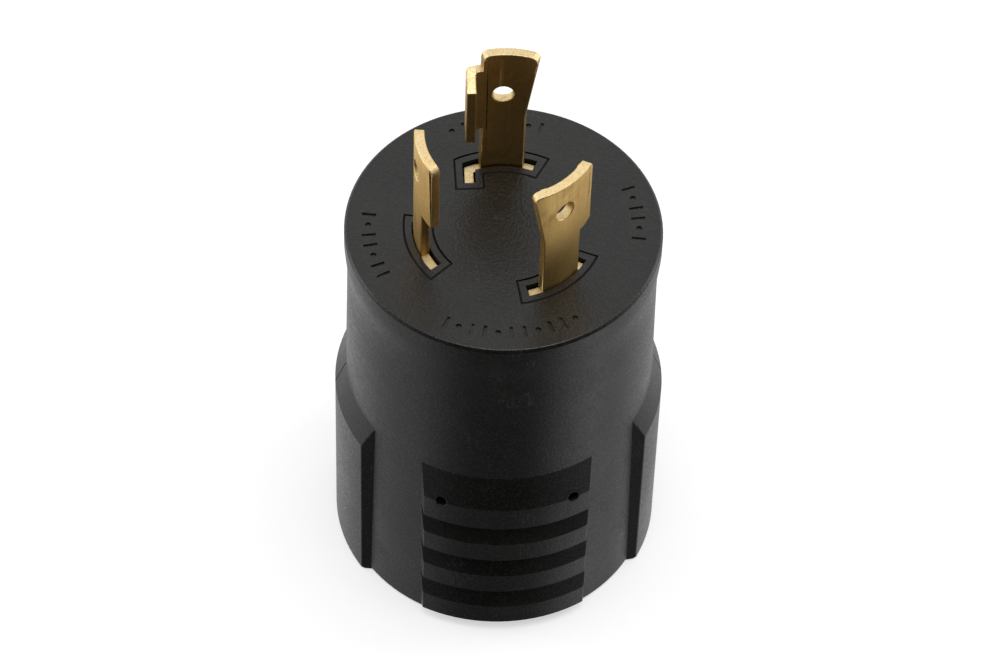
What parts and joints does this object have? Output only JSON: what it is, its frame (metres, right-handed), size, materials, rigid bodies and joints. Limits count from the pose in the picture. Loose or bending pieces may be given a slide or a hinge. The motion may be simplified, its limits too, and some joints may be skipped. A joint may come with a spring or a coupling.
{
  "type": "locking power adapter",
  "caption": "Compact moulded locking power adapter: curved twist-lock blades on one end, a slotted twist-lock receptacle on the other.",
  "frame": {"origin": "centre of the receptacle face, which is the face it rests on", "axes": "+Z from the receptacle face through the body to the plug face and blades, +Y towards the ground blade, +X towards one wing"},
  "size_m": [0.0532, 0.0534, 0.098],
  "materials": {
    "jacket": "fine-grained semi-matte black",
    "carrier": "satin black",
    "inner_nylon": "natural matte",
    "blade_brass": "satin",
    "contact_brass": "satin",
    "leaf_bronze": "satin",
    "spring_steel": "satin",
    "crimp_tin": "satin",
    "copper": "bright copper",
    "green_pvc": "matte",
    "white_pvc": "matte",
    "black_pvc": "matte"
  },
  "bodies": {
    "adapter": {"jacket": "jacket", "plug_core": "carrier", "blade_retainer": "inner_nylon", "ground_blade": "blade_brass", "neutral_blade": "blade_brass", "hot_blade": "blade_brass", "blade_crimps": "crimp_tin", "inner_tube": "inner_nylon", "receptacle_core": "carrier", "contact_cover": "inner_nylon", "contact_crimps": "crimp_tin", "ground_contact": "contact_brass", "neutral_contact": "contact_brass", "line_x_contact": "contact_brass", "line_y_contact": "contact_brass", "ground_wire": "copper", "ground_insulation": "green_pvc", "neutral_wire": "copper", "neutral_insulation": "white_pvc", "hot_wire": "copper", "hot_insulation": "black_pvc", "bridge_wire": "copper", "bridge_insulation": "black_pvc"},
    "ground_spring_leaf": {"ground_leaf": "leaf_bronze", "ground_spring": "spring_steel"},
    "neutral_spring_leaf": {"neutral_leaf": "leaf_bronze", "neutral_spring": "spring_steel"},
    "line_x_spring_leaf": {"line_x_leaf": "leaf_bronze", "line_x_spring": "spring_steel"},
    "line_y_spring_leaf": {"line_y_leaf": "leaf_bronze", "line_y_spring": "spring_steel"}
  },
  "joints": [
    {"name": "ground_leaf_flex", "type": "hinge", "parent": "adapter", "child": "ground_spring_leaf", "pos_m": [-0.00075, 0.01428, 0.0261], "axis": [0.9986, 0.0523, 0], "range_deg": [0, 2], "stiffness_Nm_per_rad": 1.2},
    {"name": "neutral_leaf_flex", "type": "hinge", "parent": "adapter", "child": "neutral_spring_leaf", "pos_m": [0.0015, -0.01422, 0.0261], "axis": [-0.9945, -0.1045, 0], "range_deg": [0, 2], "stiffness_Nm_per_rad": 1.2},
    {"name": "line_x_leaf_flex", "type": "hinge", "parent": "adapter", "child": "line_x_spring_leaf", "pos_m": [-0.01422, -0.0015, 0.0261], "axis": [-0.1045, 0.9945, 0], "range_deg": [0, 2], "stiffness_Nm_per_rad": 1.2},
    {"name": "line_y_leaf_flex", "type": "hinge", "parent": "adapter", "child": "line_y_spring_leaf", "pos_m": [0.01422, 0.0015, 0.0261], "axis": [0.1045, -0.9945, 0], "range_deg": [0, 2], "stiffness_Nm_per_rad": 1.2}
  ]
}
